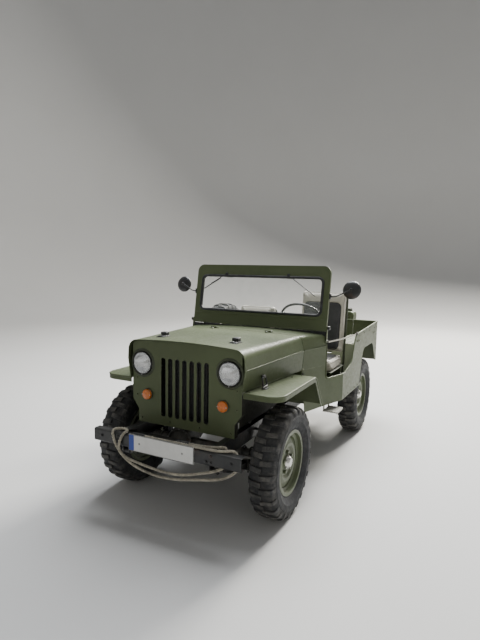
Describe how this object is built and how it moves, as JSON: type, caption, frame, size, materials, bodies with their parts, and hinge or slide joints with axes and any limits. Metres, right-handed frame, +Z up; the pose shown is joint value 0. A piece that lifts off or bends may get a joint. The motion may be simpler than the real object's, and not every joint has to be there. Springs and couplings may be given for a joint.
{
  "type": "open 4x4 utility car",
  "caption": "Open four-wheel-drive army car with a high hood, folding windscreen, drop tailgate, two seats and a spare wheel on its side.",
  "frame": {"origin": "on the ground under the middle of the car", "axes": "+X to the car's left, +Y to the rear, +Z up; the car faces -Y"},
  "size_m": [1.8117, 3.255, 1.7131],
  "materials": {
    "olive": "semi-gloss olive green paint",
    "black_paint": "black chassis paint",
    "plate_white": "blank white plate",
    "steel": "bare and greased steel",
    "iron": "cast and painted iron",
    "tyre": "chunky tread",
    "lens": "clear lamp glass",
    "amber": "amber and red lamp lenses",
    "pane": "flat clear pane",
    "mirror": "black mirror shell with its glass",
    "rubber": "black rubber",
    "wheel_plastic": "hard black steering wheel",
    "cushion": "black covers with a beige edge",
    "rope": "grey-beige laid rope",
    "pale_paint": "pale step paint"
  },
  "bodies": {
    "chassis": {"cowl": "olive", "driver_cushions": "cushion", "engine_block": "iron", "exhaust": "steel", "fender_left": "olive", "fender_right": "olive", "frame": "black_paint", "front_axle": "iron", "front_bumper": "black_paint", "fuel_tank": "olive", "gearbox": "iron", "grille": "olive", "headlamps": "lens", "leaf_springs": "black_paint", "number_plate": "plate_white", "passenger_cushions": "cushion", "propeller_shafts": "steel", "radiator": "black_paint", "rear_axle": "iron", "rear_panel": "olive", "seat_frames": "olive", "shock_absorbers": "black_paint", "side_left": "olive", "side_right": "olive", "signal_lamps": "amber", "spare_carrier": "olive", "spare_rim": "olive", "spare_tyre": "tyre", "steering_column": "black_paint", "steps": "pale_paint", "tow_hitch": "black_paint", "tow_rope": "rope", "tub_floor": "olive"},
    "hood_panel": {"hood": "olive"},
    "windscreen": {"windscreen_frame": "olive", "windscreen_glass": "pane", "wipers": "rubber", "mirrors": "mirror"},
    "tail_panel": {"tailgate": "olive", "jerry_can": "olive"},
    "steering_hand_wheel": {"steering_wheel": "wheel_plastic"},
    "hub_left": {"knuckle_left": "iron"},
    "hub_right": {"knuckle_right": "iron"},
    "track_rod": {"tie_rod": "steel"},
    "wheel_front_left": {"tyre_front_left": "tyre", "rim_front_left": "olive"},
    "wheel_front_right": {"tyre_front_right": "tyre", "rim_front_right": "olive"},
    "wheel_rear_left": {"tyre_rear_left": "tyre", "rim_rear_left": "olive"},
    "wheel_rear_right": {"tyre_rear_right": "tyre", "rim_rear_right": "olive"}
  },
  "joints": [
    {"name": "wheel_front_left_spin", "type": "hinge", "parent": "hub_left", "child": "wheel_front_left", "pos_m": [0.613, -1.077, 0.38], "axis": [1, 0, 0], "continuous": true},
    {"name": "wheel_front_right_spin", "type": "hinge", "parent": "hub_right", "child": "wheel_front_right", "pos_m": [-0.613, -1.077, 0.38], "axis": [1, 0, 0], "continuous": true},
    {"name": "wheel_rear_left_spin", "type": "hinge", "parent": "chassis", "child": "wheel_rear_left", "pos_m": [0.613, 0.955, 0.38], "axis": [1, 0, 0], "continuous": true},
    {"name": "wheel_rear_right_spin", "type": "hinge", "parent": "chassis", "child": "wheel_rear_right", "pos_m": [-0.613, 0.955, 0.38], "axis": [1, 0, 0], "continuous": true},
    {"name": "steer_left", "type": "hinge", "parent": "chassis", "child": "hub_left", "pos_m": [0.505, -1.077, 0.38], "axis": [0, 0, 1], "range_deg": [-25, 25]},
    {"name": "steer_right", "type": "hinge", "parent": "chassis", "child": "hub_right", "pos_m": [-0.505, -1.077, 0.38], "axis": [0, 0, 1], "range_deg": [-25, 25]},
    {"name": "track_rod_pivot", "type": "hinge", "parent": "hub_left", "child": "track_rod", "pos_m": [0.5, -1.249, 0.44], "axis": [0, 0, 1], "range_deg": [-25, 25]},
    {"name": "hand_wheel_turn", "type": "hinge", "parent": "chassis", "child": "steering_hand_wheel", "pos_m": [0.36, -0.017, 1.235], "axis": [0, 0.7547, 0.6561], "range_deg": [-350, 350]},
    {"name": "hood_hinge", "type": "hinge", "parent": "chassis", "child": "hood_panel", "pos_m": [0, -0.539, 1.187], "axis": [-1, 0, 0], "range_deg": [0, 75]},
    {"name": "windscreen_fold", "type": "hinge", "parent": "chassis", "child": "windscreen", "pos_m": [0, -0.227, 1.206], "axis": [-1, 0, 0], "range_deg": [-91, 0]},
    {"name": "tailgate_drop", "type": "hinge", "parent": "chassis", "child": "tail_panel", "pos_m": [0, 1.442, 0.7], "axis": [-1, 0, 0], "range_deg": [0, 90]}
  ],
  "couplings": [
    {"joint": "steer_right", "follows": "steer_left", "ratio": 1},
    {"joint": "track_rod_pivot", "follows": "steer_left", "ratio": -1},
    {"joint": "hand_wheel_turn", "follows": "steer_left", "ratio": 14}
  ]
}
